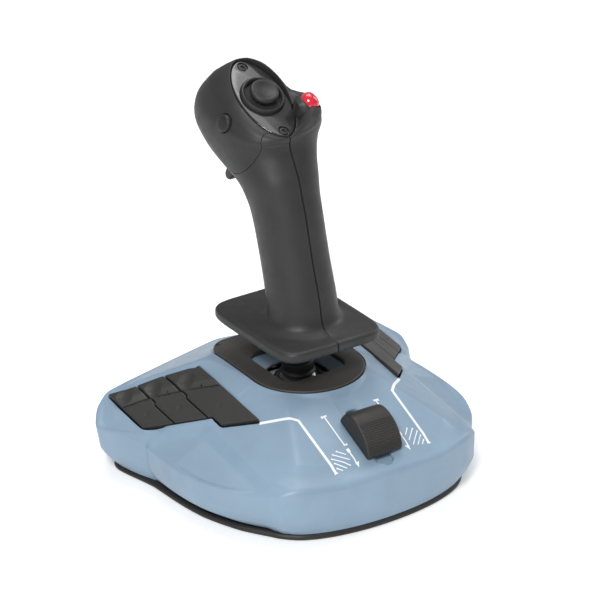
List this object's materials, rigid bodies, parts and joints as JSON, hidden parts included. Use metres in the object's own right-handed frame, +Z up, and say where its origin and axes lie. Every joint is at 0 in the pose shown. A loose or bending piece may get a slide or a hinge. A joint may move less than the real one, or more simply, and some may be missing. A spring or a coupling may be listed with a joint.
{
  "type": "flight joystick",
  "caption": "Desktop flight joystick with a tilting, twisting grip on a two-winged base, wing buttons, hat, trigger and throttle slider.",
  "frame": {"origin": "on the table, under the stick's pivot", "axes": "+X to the user's right, +Y away from the user, +Z up"},
  "size_m": [0.206, 0.2034, 0.2189],
  "materials": {
    "blue_shell": "matte light blue moulding",
    "charcoal_plastic": "fine-grained matte",
    "tray_plastic": "matte",
    "gloss_plastic": "polished",
    "red_gloss": "polished",
    "black_rubber": "matte",
    "steel": "bright zinc",
    "nylon": "natural nylon",
    "circuit_board": "solder-masked laminate"
  },
  "bodies": {
    "base": {"base_top_shell": "blue_shell", "base_bottom_tray": "tray_plastic", "gimbal_bezel": "charcoal_plastic", "socket_dish": "blue_shell", "gimbal_bracket": "nylon", "pitch_potentiometer": "charcoal_plastic", "main_board": "circuit_board", "button_board_left": "circuit_board", "button_board_right": "circuit_board", "button_mat_left": "black_rubber", "button_mat_right": "black_rubber", "slide_potentiometer": "steel", "usb_cable": "black_rubber", "cable_strain_relief": "black_rubber", "foot_front_left": "black_rubber", "foot_front_right": "black_rubber", "foot_rear_left": "black_rubber", "foot_rear_right": "black_rubber", "base_screw_1": "steel", "base_screw_2": "steel", "base_screw_3": "steel", "base_screw_4": "steel"},
    "gimbal": {"gimbal_ring": "nylon", "roll_axle": "steel", "pitch_spring": "steel", "roll_spring": "steel", "roll_potentiometer": "charcoal_plastic"},
    "stick": {"stick_shaft": "charcoal_plastic", "dust_dome": "gloss_plastic", "twist_potentiometer": "charcoal_plastic"},
    "handle": {"grip_left_shell": "charcoal_plastic", "grip_right_shell": "charcoal_plastic", "head_left_cover": "charcoal_plastic", "head_right_cover": "charcoal_plastic", "hat_face_plate": "gloss_plastic", "hat_dish": "charcoal_plastic", "plate_screw_upper": "steel", "plate_screw_lower": "steel", "twist_hub": "nylon", "trigger_pin": "steel", "hat_switch_board": "circuit_board"},
    "hat_stem": {"hat_stem": "charcoal_plastic"},
    "hat_cap": {"hat_cap": "charcoal_plastic"},
    "red_button": {"red_button": "red_gloss"},
    "side_button": {"side_button": "charcoal_plastic"},
    "trigger": {"trigger": "charcoal_plastic"},
    "throttle": {"throttle_lever": "charcoal_plastic", "throttle_carriage": "nylon"},
    "left_near_inner_button": {"left_near_inner_button": "charcoal_plastic"},
    "left_near_middle_button": {"left_near_middle_button": "charcoal_plastic"},
    "left_near_outer_button": {"left_near_outer_button": "charcoal_plastic"},
    "left_far_inner_button": {"left_far_inner_button": "charcoal_plastic"},
    "left_far_middle_button": {"left_far_middle_button": "charcoal_plastic"},
    "left_far_outer_button": {"left_far_outer_button": "charcoal_plastic"},
    "right_near_inner_button": {"right_near_inner_button": "charcoal_plastic"},
    "right_near_middle_button": {"right_near_middle_button": "charcoal_plastic"},
    "right_near_outer_button": {"right_near_outer_button": "charcoal_plastic"},
    "right_far_inner_button": {"right_far_inner_button": "charcoal_plastic"},
    "right_far_middle_button": {"right_far_middle_button": "charcoal_plastic"},
    "right_far_outer_button": {"right_far_outer_button": "charcoal_plastic"}
  },
  "joints": [
    {"name": "pitch", "type": "hinge", "parent": "base", "child": "gimbal", "pos_m": [0, 0, 0.042], "axis": [1, 0, 0], "range_deg": [-15, 15], "stiffness_Nm_per_rad": 0.35},
    {"name": "roll", "type": "hinge", "parent": "gimbal", "child": "stick", "pos_m": [0, 0, 0.042], "axis": [0, 1, 0], "range_deg": [-15, 15], "stiffness_Nm_per_rad": 0.35},
    {"name": "twist", "type": "hinge", "parent": "stick", "child": "handle", "pos_m": [0, 0, 0.1], "axis": [0, 0, 1], "range_deg": [-18, 18], "stiffness_Nm_per_rad": 0.2},
    {"name": "throttle_slide", "type": "slide", "parent": "base", "child": "throttle", "axis": [0, 0.905, 0.4254], "range_m": [-0.0015, 0.014]},
    {"name": "hat_fore_aft", "type": "hinge", "parent": "handle", "child": "hat_stem", "pos_m": [0, 0.03726, 0.19985], "axis": [1, 0, 0], "range_deg": [-9, 9], "stiffness_Nm_per_rad": 0.02},
    {"name": "hat_side", "type": "hinge", "parent": "hat_stem", "child": "hat_cap", "pos_m": [0, 0.03726, 0.19985], "axis": [0, 0.8625, 0.506], "range_deg": [-9, 9], "stiffness_Nm_per_rad": 0.02},
    {"name": "red_button_press", "type": "slide", "parent": "handle", "child": "red_button", "axis": [-0.6798, 0.3399, -0.6498], "range_m": [0, 0.002], "stiffness_N_per_m": 300},
    {"name": "side_button_press", "type": "slide", "parent": "handle", "child": "side_button", "axis": [0.9505, 0.08, -0.3002], "range_m": [0, 0.0012], "stiffness_N_per_m": 300},
    {"name": "trigger_pull", "type": "hinge", "parent": "handle", "child": "trigger", "pos_m": [0, 0.054, 0.172], "axis": [-1, 0, 0], "range_deg": [0, 9], "stiffness_Nm_per_rad": 0.05},
    {"name": "left_near_inner_button_press", "type": "slide", "parent": "base", "child": "left_near_inner_button", "axis": [0.4859, 0.1041, -0.8678], "range_m": [0, 0.0012], "stiffness_N_per_m": 300},
    {"name": "left_near_middle_button_press", "type": "slide", "parent": "base", "child": "left_near_middle_button", "axis": [0.4859, 0.1041, -0.8678], "range_m": [0, 0.0012], "stiffness_N_per_m": 300},
    {"name": "left_near_outer_button_press", "type": "slide", "parent": "base", "child": "left_near_outer_button", "axis": [0.4859, 0.1041, -0.8678], "range_m": [0, 0.0012], "stiffness_N_per_m": 300},
    {"name": "left_far_inner_button_press", "type": "slide", "parent": "base", "child": "left_far_inner_button", "axis": [0.4859, 0.1041, -0.8678], "range_m": [0, 0.0012], "stiffness_N_per_m": 300},
    {"name": "left_far_middle_button_press", "type": "slide", "parent": "base", "child": "left_far_middle_button", "axis": [0.4859, 0.1041, -0.8678], "range_m": [0, 0.0012], "stiffness_N_per_m": 300},
    {"name": "left_far_outer_button_press", "type": "slide", "parent": "base", "child": "left_far_outer_button", "axis": [0.4859, 0.1041, -0.8678], "range_m": [0, 0.0012], "stiffness_N_per_m": 300},
    {"name": "right_near_inner_button_press", "type": "slide", "parent": "base", "child": "right_near_inner_button", "axis": [-0.4859, 0.1041, -0.8678], "range_m": [0, 0.0012], "stiffness_N_per_m": 300},
    {"name": "right_near_middle_button_press", "type": "slide", "parent": "base", "child": "right_near_middle_button", "axis": [-0.4859, 0.1041, -0.8678], "range_m": [0, 0.0012], "stiffness_N_per_m": 300},
    {"name": "right_near_outer_button_press", "type": "slide", "parent": "base", "child": "right_near_outer_button", "axis": [-0.4859, 0.1041, -0.8678], "range_m": [0, 0.0012], "stiffness_N_per_m": 300},
    {"name": "right_far_inner_button_press", "type": "slide", "parent": "base", "child": "right_far_inner_button", "axis": [-0.4859, 0.1041, -0.8678], "range_m": [0, 0.0012], "stiffness_N_per_m": 300},
    {"name": "right_far_middle_button_press", "type": "slide", "parent": "base", "child": "right_far_middle_button", "axis": [-0.4859, 0.1041, -0.8678], "range_m": [0, 0.0012], "stiffness_N_per_m": 300},
    {"name": "right_far_outer_button_press", "type": "slide", "parent": "base", "child": "right_far_outer_button", "axis": [-0.4859, 0.1041, -0.8678], "range_m": [0, 0.0012], "stiffness_N_per_m": 300}
  ]
}
